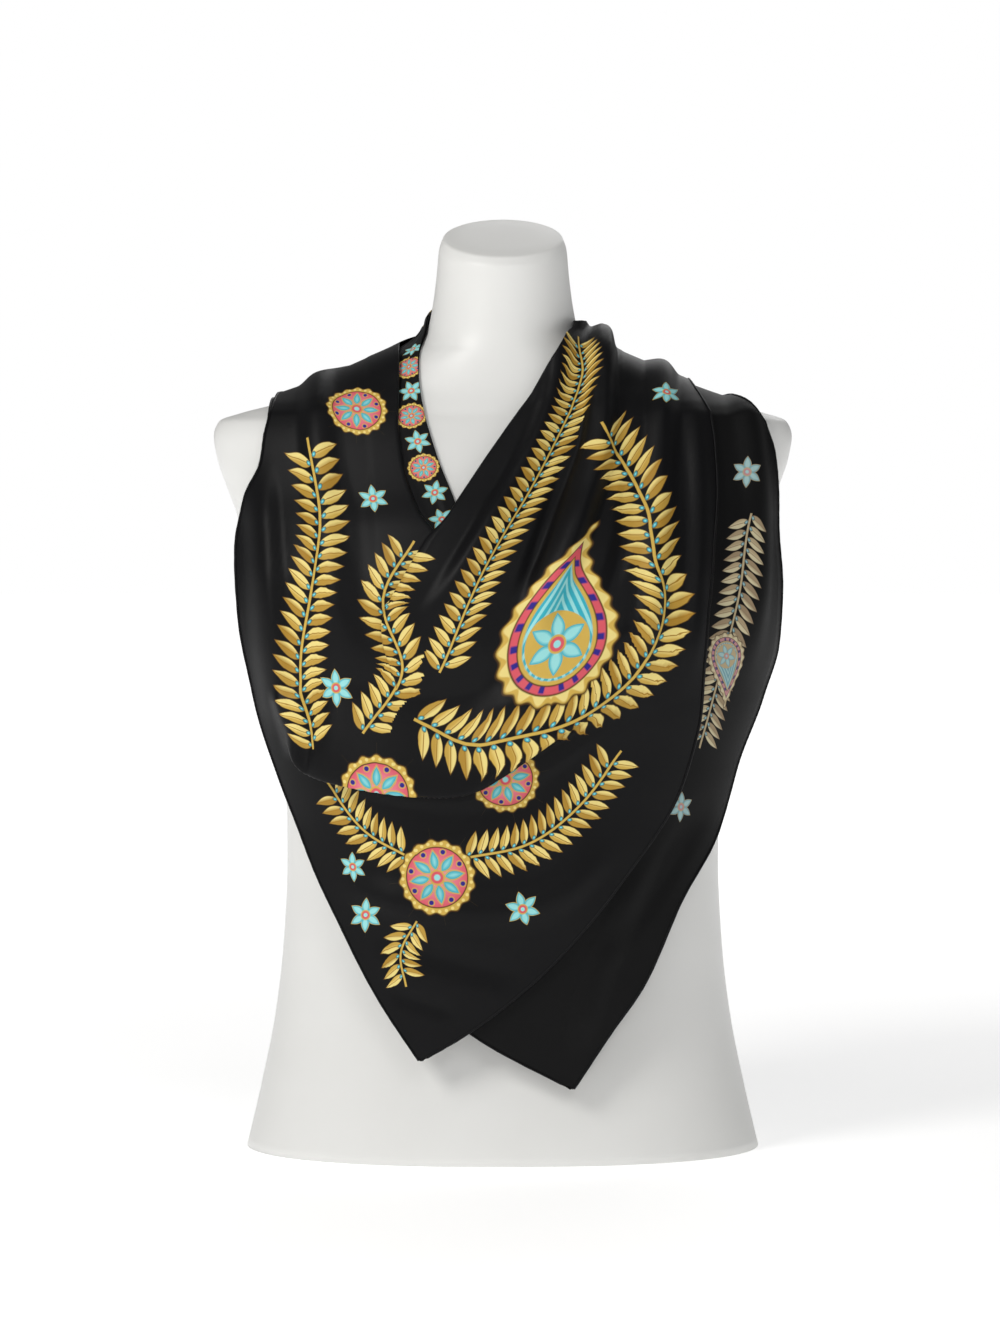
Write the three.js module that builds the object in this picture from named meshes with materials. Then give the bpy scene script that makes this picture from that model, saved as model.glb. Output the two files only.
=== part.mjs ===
import * as THREE from 'three';

// A printed silk square, folded on its diagonal and draped on a limbless dress form.
// Millimetres, Z up, the front faces -Y. The origin is the middle of the form's flat base.
// "Left" and "right" are as seen from the front, so left is -X.

const silkWall = 1.2; // one layer of silk
const endWall = 1.6; // the folded ends round the neck
const seamGap = 0.3; // between two pieces that continue each other
const seamLean = 0.55; // what the lean of their cut edges takes up of that gap
const lapLift = 3.4; // from one layer of the V's lapped pleat to the next

// How far the middle of each wall stands off the form where it rests on the shoulders and neck
const rearDistance = 3.5;
const frontDistance = 5.6;
const rearHang = 1.4; // added to these where the layers hang free
const frontHang = 4.4;
const deepestTrough = 0.4; // how far a trough may sink where the layers touch

const formSides = 44;
const endCells = 5; // across a folded end
const leftEndSteps = 18;
const rightEndSteps = 32;

const colours = { form: 0xe9e8e3, silkFace: 0x1b1b1e, silkBack: 0x222225 };
const roughness = { form: 0.45, silkFace: 0.55, silkBack: 0.65 };

// Turns rows of numbers into one list for each named column.
function columns(names, rows) {
  const list = {};
  names.split(' ').forEach((name, index) => {
    list[name] = rows.map((row) => row[index]);
  });
  return list;
}

// The form: half the width, how far it reaches to the front and back, the line of its widest points,
// how much the section tips towards the front, and the power of its rounded outline.
const form = columns('height half front back spine tip power', [
  [0, 187, 104, 116, 0, 0, 2.3],
  [47, 176, 102, 112, 0, 0, 2.3],
  [97, 166, 98, 106, 0, 0, 2.3],
  [147, 160, 95, 97, 0, 0, 2.3],
  [204, 157, 94, 89, 0, 0, 2.3],
  [240, 157, 97, 89, 0, 0, 2.3],
  [280, 162, 105, 92, 0, 0, 2.3],
  [333, 172, 118, 99, 0, 0, 2.3],
  [375, 180, 126, 104, 0, 0, 2.3],
  [415, 186, 123, 107, 0, 0, 2.3],
  [454, 191, 110, 106, 1, 0, 2.3],
  [480, 200, 95, 99, 3, 0, 2.3],
  [500, 207, 84, 92, 5, 0, 2.25],
  [517, 210, 74, 84, 7, 0, 2.2],
  [528, 206, 67, 78, 8, 0, 2.15],
  [534, 190, 63, 74, 9, 0, 2.1],
  [541, 163, 60, 70, 9, 0, 2.05],
  [550, 137, 56, 66, 9, 0, 2],
  [560, 113, 53, 63, 9, 0, 2],
  [569, 92, 51, 61, 8, 0, 2],
  [577, 74, 50, 60, 7, 0, 2],
  [584, 62, 49, 59, 6, 0.01, 2],
  [593, 55, 48, 57, 5, 0.03, 2],
  [610, 51, 47, 52, 3, 0.1, 2],
  [632, 48, 46, 46, 0, 0.22, 2],
  [652, 46, 46, 41, -3, 0.34, 2],
  [659, 43.5, 43.5, 38, -3, 0.37, 2],
]);

// How far the hanging cloth stands off the form below the bust, at its sides and in front.
const drape = columns('height side front', [
  [0, 0, 6],
  [58, 4, 14],
  [97, 6, 20],
  [147, 8, 25],
  [204, 9, 28],
  [240, 9, 26],
  [276, 11, 20],
  [333, 18, 9],
  [390, 20, 2],
  [440, 12, 0],
  [485, 3, 0],
  [520, 0, 0],
]);

// The front layer, row by row from its corner to the tops of the shoulders: its left hem, the left and
// right sides of the V (one line below it), and its right hem. Row 9 is the bottom of the V.
const frontRows = columns('leftX leftZ veeLeftX veeLeftZ veeRightX veeRightZ rightX rightZ', [
  [-61, 80, -58, 79, -58, 79, -55, 81],
  [-86, 119, -57, 106, -57, 106, -22, 101],
  [-116, 175, -62, 150, -62, 150, 30, 143],
  [-132, 208, -68, 190, -68, 190, 88, 211],
  [-147, 244, -76, 235, -76, 235, 124, 266],
  [-160, 276, -82, 270, -82, 270, 140, 325],
  [-170, 305, -86, 305, -86, 305, 142, 362],
  [-179, 340, -88, 345, -88, 345, 144, 390],
  [-188, 390, -77, 388, -77, 388, 147, 414],
  [-191, 440, -47, 443, -47, 443, 149, 440],
  [-184, 472, -61, 467, -20, 487, 152, 480],
  [-173, 497, -71, 495, 0, 517, 151, 512],
  [-170, 519, -76, 527, 22, 548, 148, 535],
]);
const veeRow = 9;
const shoulderRow = 12;
const topRow = 13;
const frontTops = { left: -163, veeLeft: -75, veeRight: 50, right: 135 };

// The rear layer: its left and right hems, with the V's line as its neckline.
const rearRows = columns('leftX leftZ veeLeftX veeLeftZ veeRightX veeRightZ rightX rightZ', [
  [46, 59, 49, 58, 49, 58, 52, 59],
  [-22, 98, 20, 92, 20, 92, 76, 97],
  [-62, 134, 5, 124, 5, 124, 101, 133],
  [-92, 178, -12, 165, -12, 165, 126, 187],
  [-119, 226, -30, 210, -30, 210, 154, 236],
  [-140, 270, -45, 258, -45, 258, 169, 286],
  [-158, 320, -58, 310, -58, 310, 187, 330],
  [-169, 360, -62, 355, -62, 355, 198, 368],
  [-174, 400, -60, 400, -60, 400, 200, 410],
  [-176, 440, -50, 438, -50, 438, 198, 449],
  [-174, 470, -66, 464, -14, 487, 197, 480],
  [-168, 497, -76, 492, 6, 515, 195, 505],
  [-168, 521, -80, 524, 28, 545, 188, 528],
]);
const rearTops = { left: -167, veeLeft: -78, veeRight: 54, right: 166 };

// The ends behind the neck: the hem's edge, the neckline's edge and the distance from the form.
const leftEnd = columns('hemX hemY hemZ neckX neckY neckZ distance', [
  [-164, 9, 541, -76, 8, 577, 4.4],
  [-150, 40, 541, -70, 26, 580, 4.3],
  [-122, 60, 545, -62, 40, 584, 4.0],
  [-85, 68, 553, -52, 50, 591, 1.5],
  [-45, 71, 564, -30, 60, 596, 1.3],
  [-10, 68, 578, -5, 64, 603, 1.5],
  [22, 63, 584, 22, 60, 606, 1.5],
  [44, 46, 588, 44, 46, 604, 1.5],
]);
const rightEnd = columns('neckX neckY neckZ hemX hemY hemZ distance', [
  [53, 14, 588, 150, 9, 546, 4.4],
  [52, 30, 596, 146, 36, 541, 4.4],
  [44, 46, 604, 118, 60, 545, 4.3],
  [28, 57, 612, 80, 69, 553, 4.1],
  [5, 62, 617, 38, 72, 562, 3.9],
  [-20, 60, 619, -2, 68, 576, 3.8],
  [-40, 48, 617, -36, 60, 589, 3.6],
  [-52, 28, 611, -54, 38, 590, 3.0],
  [-58, 6, 603, -66, 8, 586, 2.0],
  [-59, -14, 590, -82, -6, 573, 1.5],
  [-59, -40, 562, -92, -40, 548, 1.5],
  [-56, -52, 535, -94, -52, 520, 1.5],
  [-47, -70, 503, -90, -68, 488, 1.5],
  [-33, -90, 466, -78, -90, 455, 1.5],
  [-27, -100, 446, -58, -100, 436, 1.5],
]);

// The folds of the front layer, as seen from the front: a path, how high the fold stands (a trough
// is below nought), and how far it reaches above or left of its path and below or right of it.
const frontFolds = [
  { name: 'cowl', height: 15, above: 70, below: 9,
    path: [[-150, 300], [-128, 284], [-81, 271], [-28, 268], [10, 283], [64, 319], [120, 362]] },
  { name: 'cowl shadow', height: -2.2, above: 8, below: 26,
    path: [[-120, 262], [-60, 250], [-10, 252], [40, 276], [85, 312]] },
  { name: 'left roll', height: 6, above: 13, below: 20,
    path: [[-146, 345], [-143, 318], [-139, 288]] },
  { name: 'side turn', height: 6, above: 12, below: 26,
    path: [[-170, 505], [-163, 430], [-157, 350], [-146, 300]] },
  { name: 'left drape', height: 3.5, above: 18, below: 18,
    path: [[-128, 530], [-126, 460], [-118, 400], [-104, 350]] },
  { name: 'neck roll', height: 6, above: 18, below: 14,
    path: [[38, 575], [30, 530], [6, 480], [-28, 425], [-60, 380]] },
  { name: 'shoulder valley', height: -3.2, above: 8, below: 8,
    path: [[56, 588], [54, 525], [40, 483], [22, 434], [10, 400]] },
  { name: 'shoulder roll', height: 9, above: 14, below: 20,
    path: [[72, 590], [73, 520], [58, 470], [36, 415], [14, 370]] },
  { name: 'outer valley', height: -2.4, above: 12, below: 12,
    path: [[92, 560], [92, 500], [84, 440], [66, 390]] },
  { name: 'outer roll', height: 4.5, above: 14, below: 16,
    path: [[112, 560], [110, 480], [104, 400], [90, 350]] },
  { name: 'hem roll', height: 4, above: 12, below: 10,
    path: [[136, 550], [139, 470], [136, 400], [128, 330]] },
  { name: 'low trough', height: -2.4, above: 15, below: 15,
    path: [[-95, 168], [-40, 152], [22, 136]] },
  { name: 'low ridge', height: 3, above: 20, below: 16,
    path: [[-118, 205], [-50, 186], [30, 190], [80, 235]] },
  { name: 'corner trough', height: -1.6, above: 9, below: 9,
    path: [[-82, 128], [-30, 113]] },
];

// The folds of the rear layer where it shows beyond the front one.
const rearFolds = [
  { name: 'sleeve trough', height: -1.6, above: 9, below: 10,
    path: [[154, 545], [155, 470], [152, 400], [148, 350]] },
  { name: 'sleeve roll', height: 4.5, above: 12, below: 14,
    path: [[176, 535], [181, 470], [180, 400], [170, 330]] },
  { name: 'hip trough', height: -1.8, above: 14, below: 14,
    path: [[60, 150], [100, 190], [150, 270]] },
  { name: 'tail ridge', height: 3.5, above: 14, below: 16,
    path: [[50, 80], [70, 150], [110, 230]] },
];

// A curve through a column of values that never overshoots them.
function through(knots, values, at) {
  const last = knots.length - 1;
  let i = 0;
  while (i < last - 1 && at > knots[i + 1]) i += 1;
  const rise = (k) => (values[k + 1] - values[k]) / (knots[k + 1] - knots[k]);
  const slope = (k) => {
    if (k === 0) return rise(0);
    if (k === last) return rise(last - 1);
    const before = rise(k - 1);
    const after = rise(k);
    return before * after <= 0 ? 0 : (2 * before * after) / (before + after);
  };
  const span = knots[i + 1] - knots[i];
  const t = THREE.MathUtils.clamp((at - knots[i]) / span, 0, 1);
  const u = 1 - t;
  const ends = values[i] * (1 + 2 * t) * u * u + values[i + 1] * (3 - 2 * t) * t * t;
  return ends + span * t * u * (slope(i) * u - slope(i + 1) * t);
}

const rowNumbers = (list) => list.map((value, index) => index);
const alongRows = (table, name, row) => through(rowNumbers(table[name]), table[name], row);
const sectionValue = (name, height) => through(form.height, form[name], height);
const drapeValue = (name, height) => through(drape.height, drape[name], height);
const rampUp = (from, to, value) => THREE.MathUtils.smoothstep(value, from, to);

// The section of a surface that stands a distance off the form and its drape. On the shoulders the
// distance is upwards as well as outwards.
const shoulderHeights = { from: 470, to: 545 };
const neckHeights = { from: 585, to: 600 };
function section(z, distance) {
  const onShoulder = rampUp(shoulderHeights.from, shoulderHeights.to, z);
  const onNeck = rampUp(neckHeights.from, neckHeights.to, z);
  const height = z - distance * onShoulder * (1 - onNeck);
  return {
    half: sectionValue('half', height) + drapeValue('side', height) + distance,
    front: sectionValue('front', height) + drapeValue('front', height) + distance,
    back: sectionValue('back', height) + distance,
    spine: sectionValue('spine', height),
    power: sectionValue('power', height),
  };
}

// How far out a point is: 1 on the surface, less inside it and more outside.
function reachOf(point, distance) {
  const { spine: middle } = section(point.z, distance);
  const tipped = point.z - sectionValue('tip', point.z) * (point.y - middle);
  const around = section(tipped, distance);
  const y = point.y - around.spine;
  const depth = y < 0 ? around.front + around.spine : around.back - around.spine;
  const sum = (Math.abs(point.x) / around.half) ** around.power + (Math.abs(y) / depth) ** around.power;
  return sum ** (1 / around.power);
}

function reachSlope(point, distance) {
  const step = 0.4;
  const slope = new THREE.Vector3();
  for (const axis of ['x', 'y', 'z']) {
    const near = point.clone();
    const far = point.clone();
    near[axis] -= step;
    far[axis] += step;
    slope[axis] = (reachOf(far, distance) - reachOf(near, distance)) / (2 * step);
  }
  return slope;
}

// Moves a point straight to the surface that stands a distance off the form, by Newton's steps.
const newtonSteps = 6;
const leastSlope = 1e-6; // guards the division where the slope vanishes
function rested(point, distance) {
  const moved = point.clone();
  for (let i = 0; i < newtonSteps; i += 1) {
    const slope = reachSlope(moved, distance);
    const short = 1 - reachOf(moved, distance);
    moved.addScaledVector(slope, short / Math.max(slope.lengthSq(), leastSlope));
  }
  return moved;
}

const outwards = (point, distance) => reachSlope(point, distance).normalize();

// The point of a draped surface that is seen at x and z from the front.
function seen(x, z, distance) {
  const around = section(z, distance);
  const across = Math.min(Math.abs(x) / around.half, 1);
  const depth = (around.front + around.spine) * (1 - across ** around.power) ** (1 / around.power);
  return new THREE.Vector3(x, around.spine - depth, z);
}

// The top of the shoulder at x, found by halving the range of heights that it lies in.
const topRange = { low: 500, high: 600 };
const halvings = 30;
function shoulderTop(x, distance) {
  let { low, high } = topRange;
  for (let i = 0; i < halvings; i += 1) {
    const z = (low + high) / 2;
    if (section(z, distance).half > Math.abs(x)) low = z;
    else high = z;
  }
  return new THREE.Vector3(x, section(low, distance).spine, low);
}

// The signed distance from a fold's path, and how far along it the nearest point is, 0 to 1.
function fromPath(path, x, z) {
  const curve = new THREE.SplineCurve(path.map(([px, pz]) => new THREE.Vector2(px, pz)));
  const steps = 20;
  const points = curve.getPoints(steps);
  let best = { away: Infinity, along: 0 };
  for (let i = 0; i < steps; i += 1) {
    const a = points[i];
    const b = points[i + 1];
    const dx = b.x - a.x;
    const dz = b.y - a.y;
    const t = THREE.MathUtils.clamp(((x - a.x) * dx + (z - a.y) * dz) / (dx * dx + dz * dz), 0, 1);
    const away = Math.hypot(x - a.x - t * dx, z - a.y - t * dz);
    const side = Math.sign(dx * (z - a.y) - dz * (x - a.x)) || 1;
    if (away < Math.abs(best.away)) best = { away: away * side, along: (i + t) / steps };
  }
  return best;
}

// How far the folds lift the cloth at a place seen from the front.
const fadingShare = 0.22; // of a fold's length, at each of its ends
function foldHeight(folds, x, z) {
  let height = 0;
  for (const fold of folds) {
    const { away, along } = fromPath(fold.path, x, z);
    const reach = away > 0 ? fold.above : fold.below;
    const t = Math.min(Math.abs(away) / reach, 1);
    const fade = rampUp(0, fadingShare, along) * (1 - rampUp(1 - fadingShare, 1, along));
    height += fold.height * (1 - t * t) ** 2 * fade;
  }
  return height;
}

// A closed wall over a grid of points. A missing cell leaves an opening with its own rim.
function wall(grid, thickness, missing = () => false) {
  const rows = grid.length;
  const cols = grid[0].length;
  const normals = grid.map((row) => row.map(() => new THREE.Vector3()));
  const used = grid.map((row) => row.map(() => false));
  const cells = [];
  for (let i = 0; i < rows - 1; i += 1) {
    for (let j = 0; j < cols - 1; j += 1) {
      if (missing(i, j)) continue;
      cells.push([i, j]);
      const across = grid[i + 1][j + 1].clone().sub(grid[i][j]);
      const back = grid[i + 1][j].clone().sub(grid[i][j + 1]);
      const normal = across.cross(back).normalize();
      for (const [a, b] of [[i, j], [i, j + 1], [i + 1, j], [i + 1, j + 1]]) {
        normals[a][b].add(normal);
        used[a][b] = true;
      }
    }
  }
  const positions = [];
  const number = new Map();
  const shift = thickness / 2;
  for (const side of [1, -1]) {
    for (let i = 0; i < rows; i += 1) {
      for (let j = 0; j < cols; j += 1) {
        if (!used[i][j]) continue;
        const point = grid[i][j].clone().addScaledVector(normals[i][j].clone().normalize(), side * shift);
        number.set(`${side} ${i} ${j}`, positions.length / 3);
        positions.push(point.x, point.y, point.z);
      }
    }
  }
  const corner = (side, i, j) => number.get(`${side} ${i} ${j}`);
  const triangles = [];
  const outerEdges = new Map();
  for (const [i, j] of cells) {
    for (const face of [[[i, j], [i, j + 1], [i + 1, j + 1]], [[i, j], [i + 1, j + 1], [i + 1, j]]]) {
      const [a, b, c] = face.map(([p, q]) => corner(1, p, q));
      const [d, e, f] = face.map(([p, q]) => corner(-1, p, q));
      triangles.push(a, b, c, d, f, e);
      for (const [from, to, fromInner, toInner] of [[a, b, d, e], [b, c, e, f], [c, a, f, d]]) {
        outerEdges.set(`${from} ${to}`, [from, to, fromInner, toInner]);
      }
    }
  }
  for (const [from, to, fromInner, toInner] of outerEdges.values()) {
    if (outerEdges.has(`${to} ${from}`)) continue;
    triangles.push(to, from, fromInner, to, fromInner, toInner);
  }
  return solid(positions, triangles);
}

function solid(positions, triangles) {
  const geometry = new THREE.BufferGeometry();
  geometry.setAttribute('position', new THREE.Float32BufferAttribute(positions, 3));
  geometry.setIndex(triangles);
  geometry.computeVertexNormals();
  return geometry;
}

// The torso: one ring of points for each section, closed by the flat base and the neck's flat top.
function formGeometry() {
  const positions = [];
  const triangles = [];
  const ringCount = form.height.length;
  for (let i = 0; i < ringCount; i += 1) {
    for (let j = 0; j < formSides; j += 1) {
      const angle = (2 * Math.PI * j) / formSides;
      const cos = Math.cos(angle);
      const sin = Math.sin(angle);
      const power = 2 / form.power[i];
      const depth = sin < 0 ? form.front[i] + form.spine[i] : form.back[i] - form.spine[i];
      const y = Math.sign(sin) * depth * Math.abs(sin) ** power;
      const x = Math.sign(cos) * form.half[i] * Math.abs(cos) ** power;
      positions.push(x, form.spine[i] + y, form.height[i] + form.tip[i] * y);
    }
  }
  for (let i = 0; i < ringCount - 1; i += 1) {
    for (let j = 0; j < formSides; j += 1) {
      const a = i * formSides + j;
      const b = i * formSides + ((j + 1) % formSides);
      triangles.push(a, b, b + formSides, a, b + formSides, a + formSides);
    }
  }
  for (const [ring, turned] of [[0, true], [ringCount - 1, false]]) {
    const middle = positions.length / 3;
    positions.push(0, form.spine[ring], form.height[ring]);
    for (let j = 0; j < formSides; j += 1) {
      const a = ring * formSides + j;
      const b = ring * formSides + ((j + 1) % formSides);
      triangles.push(middle, turned ? b : a, turned ? a : b);
    }
  }
  return solid(positions, triangles);
}

// One row of a layer: the points at its hems and at the two sides of the V.
function rowEnds(table, tops, row, distance) {
  const ends = {};
  const overTop = Math.sin((Math.PI / 2) * THREE.MathUtils.clamp(row - shoulderRow, 0, 1));
  for (const name of ['left', 'veeLeft', 'veeRight', 'right']) {
    const low = Math.min(row, shoulderRow);
    const x = alongRows(table, `${name}X`, low);
    const z = alongRows(table, `${name}Z`, low);
    const top = shoulderTop(tops[name], distance);
    const seenX = x + (top.x - x) * overTop;
    const seenZ = z + (top.z - z) * overTop;
    ends[name] = { x: seenX, z: seenZ };
  }
  return ends;
}

const mix = (a, b, t) => ({ x: a.x + (b.x - a.x) * t, z: a.z + (b.z - a.z) * t });

// The steps of the lapped pleat across a row: how far along the row, and how many layers up.
const lapSteps = columns('along layer', [
  [10, 0],
  [22, 0],
  [26, 0.5],
  [22, 1],
  [8, 1],
  [-2, 1.2],
  [-5, 1.6],
  [-2, 2],
]);
const lapSpacing = 3; // between those steps where the pleat has opened flat
const lapShare = 0.04; // and at most this share of the row's width
const lapRows = { from: 6.6, to: 8.2 }; // where the pleat closes
const lapThins = 0.75; // how much of its height is gone at the shoulders
const lapSlope = 0.55; // the share of the right part over which the cloth comes down from the pleat

// The rows of a layer: closest along the cowl fold and over the shoulder's top.
const cowlRows = { from: 4.5, to: 6 };
const rowStep = 0.5;
const overTopSteps = 5;
function layerRows(cowlSteps) {
  const rows = [];
  for (let row = 0; row < shoulderRow; row += rowStep) {
    const steps = row >= cowlRows.from && row < cowlRows.to ? cowlSteps : 1;
    for (let i = 0; i < steps; i += 1) rows.push(row + (rowStep * i) / steps);
  }
  for (let i = 0; i <= overTopSteps; i += 1) rows.push(shoulderRow + i / overTopSteps);
  return rows;
}

// How freely a row hangs: 0 on the shoulders, 1 below them.
const hangRows = { from: 8, to: 11.5 };
const hanging = (row) => 1 - rampUp(hangRows.from, hangRows.to, row);

// The front layer's grid: left part, lapped pleat, right part.
function frontGrid(leftCells, rightCells, rows) {
  const lapCount = lapSteps.along.length;
  return rows.map((row) => {
    const distance = frontDistance + frontHang * hanging(row);
    const deepest = -deepestTrough - (frontHang - rearHang) * hanging(row);
    const ends = rowEnds(frontRows, frontTops, row, distance);
    const lap = rampUp(lapRows.from, lapRows.to, row);
    const lift = lapLift * lap * (1 - lapThins * rampUp(veeRow, topRow, row));
    const places = [];
    for (let j = 0; j <= leftCells; j += 1) {
      places.push({ ...mix(ends.left, ends.veeLeft, j / leftCells), lift: 0 });
    }
    const spacing = (1 - lap) * Math.min(lapSpacing, lapShare * (ends.right.x - ends.left.x));
    for (let j = 0; j < lapCount; j += 1) {
      const along = lap * lapSteps.along[j] + spacing * (j + 1);
      places.push({ x: ends.veeLeft.x + along, z: ends.veeLeft.z, lift: lift * lapSteps.layer[j] });
    }
    const shift = spacing * (lapCount + 1);
    const rightStart = { x: ends.veeRight.x + shift, z: ends.veeRight.z };
    for (let j = 0; j <= rightCells; j += 1) {
      const t = j / rightCells;
      places.push({ ...mix(rightStart, ends.right, t), lift: 2 * lift * (1 - rampUp(0, lapSlope, t)) });
    }
    return places.map(({ x, z, lift: up }) => {
      const point = rested(seen(x, z, distance), distance);
      const folds = Math.max(foldHeight(frontFolds, x, z), deepest);
      return point.addScaledVector(outwards(point, distance), up + folds);
    });
  });
}

function frontPanel() {
  const leftCells = 8;
  const rightCells = 13;
  const cowlSteps = 3;
  const rows = layerRows(cowlSteps);
  const lapEnd = leftCells + lapSteps.along.length;
  const missing = (i, j) => rows[i] >= veeRow && j >= leftCells && j <= lapEnd;
  return wall(frontGrid(leftCells, rightCells, rows), silkWall, missing);
}

function rearPanel() {
  const leftCells = 6;
  const rightCells = 10;
  const cowlSteps = 1;
  const veeWidth = 6; // of the cells along the V's line, below the V
  const rows = layerRows(cowlSteps);
  const grid = rows.map((row) => {
    const distance = rearDistance + rearHang * hanging(row);
    const ends = rowEnds(rearRows, rearTops, row, distance);
    const start = { x: ends.veeRight.x + (row > veeRow ? 0 : veeWidth), z: ends.veeRight.z };
    const places = [];
    for (let j = 0; j <= leftCells; j += 1) places.push(mix(ends.left, ends.veeLeft, j / leftCells));
    for (let j = 0; j <= rightCells; j += 1) places.push(mix(start, ends.right, j / rightCells));
    return places.map(({ x, z }) => {
      const point = rested(seen(x, z, distance), distance);
      return point.addScaledVector(outwards(point, distance), foldHeight(rearFolds, x, z));
    });
  });
  return wall(grid, silkWall, (i, j) => rows[i] >= veeRow && j === leftCells);
}

// A folded end: each row runs straight from one edge to the other and is rested on the form.
function endPanel(table, from, to, steps) {
  const last = table.distance.length - 1;
  const grid = [];
  for (let i = 0; i <= steps; i += 1) {
    const row = (i / steps) * last;
    const distance = alongRows(table, 'distance', row);
    const edge = (name) => new THREE.Vector3(
      alongRows(table, `${name}X`, row),
      alongRows(table, `${name}Y`, row),
      alongRows(table, `${name}Z`, row),
    );
    const start = edge(from);
    const end = edge(to);
    const points = [];
    for (let j = 0; j <= endCells; j += 1) {
      const point = rested(start.clone().lerp(end, j / endCells), distance);
      if (i === 0) point.y += seamGap + seamLean;
      points.push(point);
    }
    grid.push(points);
  }
  return wall(grid, endWall);
}

function piece(name, geometry, finish) {
  const material = new THREE.MeshStandardMaterial({
    color: colours[finish],
    roughness: roughness[finish],
    metalness: 0,
  });
  const mesh = new THREE.Mesh(geometry, material);
  mesh.name = name;
  return mesh;
}

const scarf = new THREE.Group();
scarf.add(
  piece('dress_form', formGeometry(), 'form'),
  piece('front_panel', frontPanel(), 'silkFace'),
  piece('rear_panel', rearPanel(), 'silkBack'),
  piece('left_end', endPanel(leftEnd, 'hem', 'neck', leftEndSteps), 'silkFace'),
  piece('right_end', endPanel(rightEnd, 'neck', 'hem', rightEndSteps), 'silkFace'),
);

export default scarf;
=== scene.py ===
import math

import bmesh
import bpy
import numpy as np
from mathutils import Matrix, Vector


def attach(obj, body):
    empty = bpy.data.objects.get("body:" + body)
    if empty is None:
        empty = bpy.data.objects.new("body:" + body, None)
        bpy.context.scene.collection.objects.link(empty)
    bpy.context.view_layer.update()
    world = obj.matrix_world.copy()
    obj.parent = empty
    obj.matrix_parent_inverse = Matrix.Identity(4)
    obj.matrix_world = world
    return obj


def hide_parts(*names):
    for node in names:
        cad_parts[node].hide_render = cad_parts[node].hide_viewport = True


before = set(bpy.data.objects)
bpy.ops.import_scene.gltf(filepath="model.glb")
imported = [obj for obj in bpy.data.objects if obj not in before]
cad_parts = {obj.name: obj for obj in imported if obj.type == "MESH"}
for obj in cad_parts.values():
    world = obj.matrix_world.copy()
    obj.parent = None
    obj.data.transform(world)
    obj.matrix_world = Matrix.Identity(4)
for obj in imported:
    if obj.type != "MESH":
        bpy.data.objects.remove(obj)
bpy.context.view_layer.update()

# A printed silk square, folded on its diagonal and draped on a plain dress form.
# The front faces -Y. Sizes in the tables are in millimetres, and mm turns them into metres.
mm = 0.001
print("frame loaded:", len(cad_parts), "nodes")


# Camera, floor and light

def newObject(name, data):
    obj = bpy.data.objects.new(name, data)
    bpy.context.scene.collection.objects.link(obj)
    return obj


camera = {
    "target": (-0.002, -0.06, 0.3535),  # the middle of the picture, on the scarf
    "frameHeight": 1333 / 1.4 * mm,  # the picture shows 1.4 pixels of the scarf to a millimetre
    "elevation": 3.5,
    "distance": 3.2,
    "sensor": 36.0,
    "clipEnd": 50,
}


def makeCamera(c):
    data = bpy.data.cameras.new("viewCamera")
    data.sensor_fit = "VERTICAL"
    data.sensor_height = c["sensor"]
    data.lens = c["sensor"] * c["distance"] / c["frameHeight"]
    data.clip_end = c["clipEnd"]
    data.dof.use_dof = False
    obj = newObject("viewCamera", data)
    rise = math.radians(c["elevation"])
    away = Vector((0, -math.cos(rise), math.sin(rise))) * c["distance"]
    obj.location = Vector(c["target"]) + away
    obj.rotation_euler = (-away).to_track_quat("-Z", "Y").to_euler()
    bpy.context.scene.camera = obj


lights = [
    # name, place, size, watts, colour
    ("key", (-1.8, -2.0, 2.1), 1.1, 40, (1.0, 0.985, 0.96)),
    ("front", (0.7, -2.9, 1.9), 1.0, 9, (1.0, 1.0, 1.0)),
    ("top", (0.1, -1.2, 2.6), 0.9, 3, (1.0, 1.0, 1.0)),
    ("back", (0.6, 2.4, 1.9), 1.8, 12, (1.0, 1.0, 1.0)),
]
lightTarget = Vector((0, 0, 0.38))
worldLight = 0.2


def makeLights(rows):
    for name, place, size, watts, colour in rows:
        data = bpy.data.lights.new(name + "Light", "AREA")
        data.shape = "DISK"
        data.size = size
        data.energy = watts
        data.color = colour
        obj = newObject(name + "Light", data)
        obj.location = place
        obj.visible_camera = False
        obj.rotation_euler = (lightTarget - Vector(place)).to_track_quat("-Z", "Y").to_euler()
    world = bpy.data.worlds.new("studioWorld")
    world.use_nodes = True
    # a white room: softer as a light than it looks to the eye
    tree = world.node_tree
    seen = Wire(tree, addNode(tree, "LightPath", {}).outputs["Is Camera Ray"])
    level = seen * (1 - worldLight) + worldLight
    fill(tree, tree.nodes["Background"], {"Color": (1, 1, 1, 1), "Strength": level})
    bpy.context.scene.world = world


# Helpers for meshes and tables


def columns(names, rows):  # rows of numbers into one array for each named column
    return dict(zip(names.split(), np.array(rows, float).T))


def turnOf(sides):  # the angles of a ring's points
    return np.linspace(0, 2 * np.pi, sides, endpoint=False)


def ramp(low, high, value):  # smooth step: 0 below low, 1 above high
    t = np.clip((np.asarray(value, float) - low) / (high - low), 0, 1)
    return t * t * (3 - 2 * t)


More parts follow.
